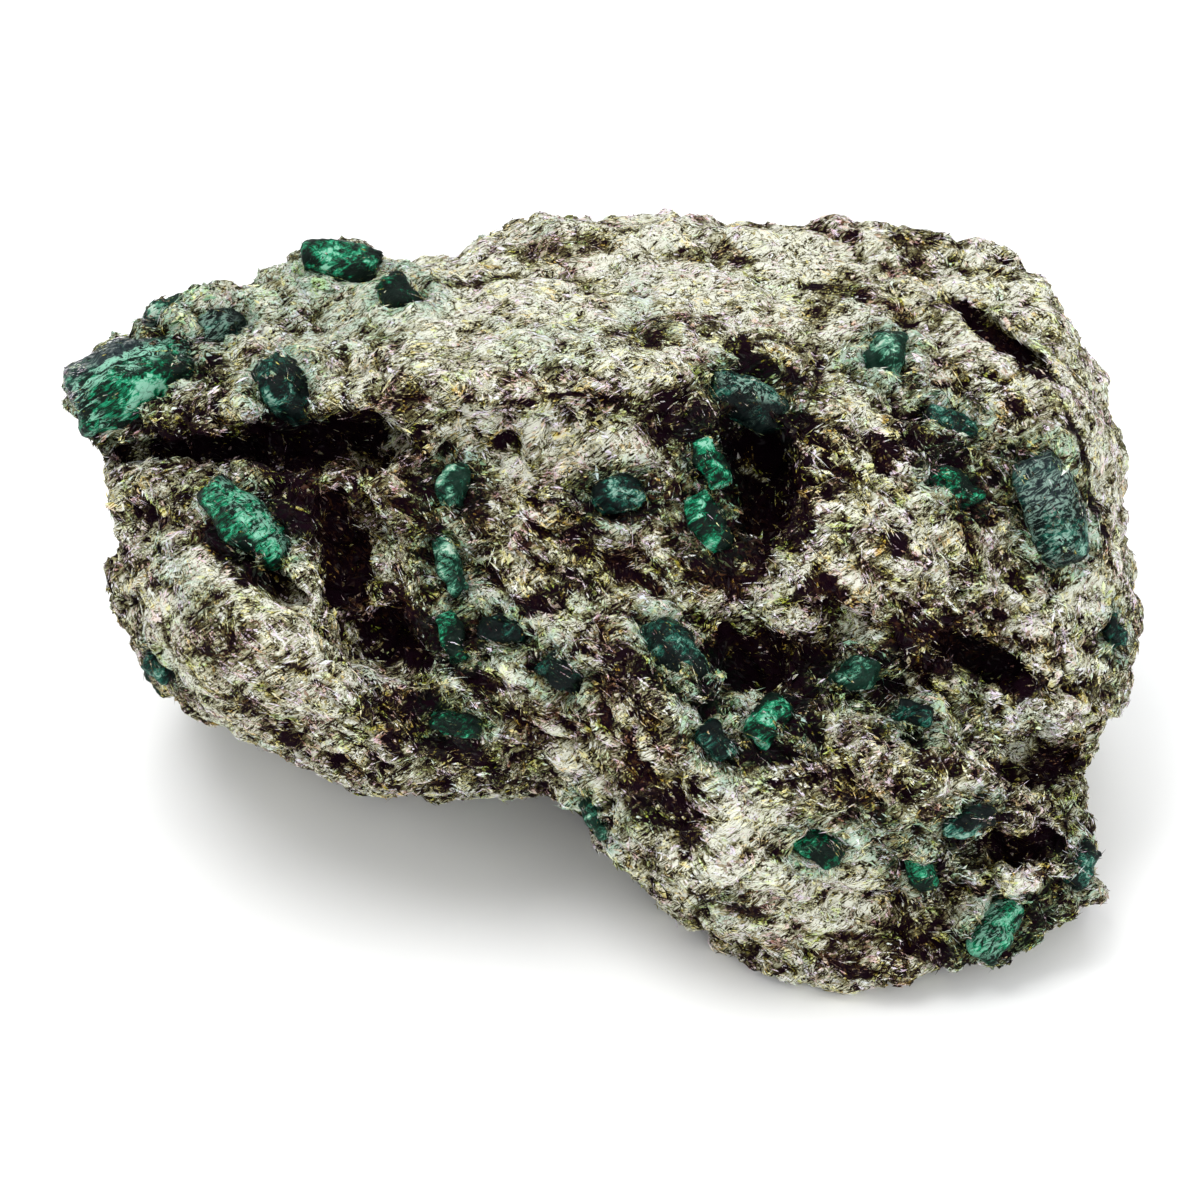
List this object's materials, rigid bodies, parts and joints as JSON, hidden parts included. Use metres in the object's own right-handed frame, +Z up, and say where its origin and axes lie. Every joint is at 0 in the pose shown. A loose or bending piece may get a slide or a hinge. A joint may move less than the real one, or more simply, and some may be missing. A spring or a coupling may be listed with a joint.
{
  "type": "emerald in matrix specimen",
  "caption": "Hand specimen of mica schist with emerald crystals set in its surface and clefts; lies on a flat parting face.",
  "frame": {"origin": "under the middle of the specimen's box, on the surface that it rests on", "axes": "+X to the right along the longest extent, +Y to the back, +Z up; the show face looks towards -Y and up"},
  "size_m": [0.1074, 0.0704, 0.0591],
  "materials": {
    "mica_schist": "rough foliated mica schist, silvery grey-green flakes with dark purplish hollows and rust spots",
    "mica_flakes": "small glossy cleavage flakes of pale mica",
    "dark_mica": "small glossy flakes of dark purple-brown mica",
    "emerald_bright": "translucent green beryl, glassy with inclusions",
    "emerald_dark": "dark blue-green beryl, glassy",
    "emerald_pale": "pale milky green beryl, filmed with mica"
  },
  "bodies": {
    "root": {"schist_matrix": "mica_schist", "emerald_left_knob": "emerald_bright", "emerald_knob_upper": "emerald_dark", "emerald_left_rear": "emerald_pale", "emerald_arm": "emerald_dark", "emerald_top_knob": "emerald_bright", "emerald_top_knob_right": "emerald_bright", "emerald_cleft_island": "emerald_bright", "emerald_lower_left_edge": "emerald_dark", "emerald_centre_left_upper": "emerald_pale", "emerald_centre_left": "emerald_pale", "emerald_centre_left_lower": "emerald_bright", "emerald_middle": "emerald_dark", "emerald_middle_lower": "emerald_dark", "emerald_low_left": "emerald_bright", "emerald_dark_window": "emerald_dark", "emerald_overhang": "emerald_dark", "emerald_cavity_upper": "emerald_bright", "emerald_cavity_lower": "emerald_bright", "emerald_upper_right_pale": "emerald_pale", "emerald_right_stain": "emerald_dark", "emerald_right_bright": "emerald_bright", "emerald_right_window": "emerald_dark", "emerald_right_edge": "emerald_dark", "emerald_lower_cavity_left": "emerald_dark", "emerald_lower_cavity_foot": "emerald_bright", "emerald_lower_cavity_corner": "emerald_dark", "emerald_mint": "emerald_pale", "emerald_inky": "emerald_dark", "emerald_low_green": "emerald_bright", "emerald_low_bright": "emerald_bright", "emerald_hooded": "emerald_dark", "emerald_right_foot": "emerald_dark", "emerald_bottom_right": "emerald_bright", "emerald_bottom_notch": "emerald_pale", "emerald_crown_left": "emerald_bright", "emerald_crown_right": "emerald_pale", "emerald_back_high": "emerald_bright", "emerald_back_middle": "emerald_dark", "emerald_back_right": "emerald_bright", "emerald_back_low": "emerald_dark", "emerald_back_left": "emerald_bright", "emerald_left_flank": "emerald_pale", "emerald_right_flank": "emerald_dark"}
  },
  "joints": []
}
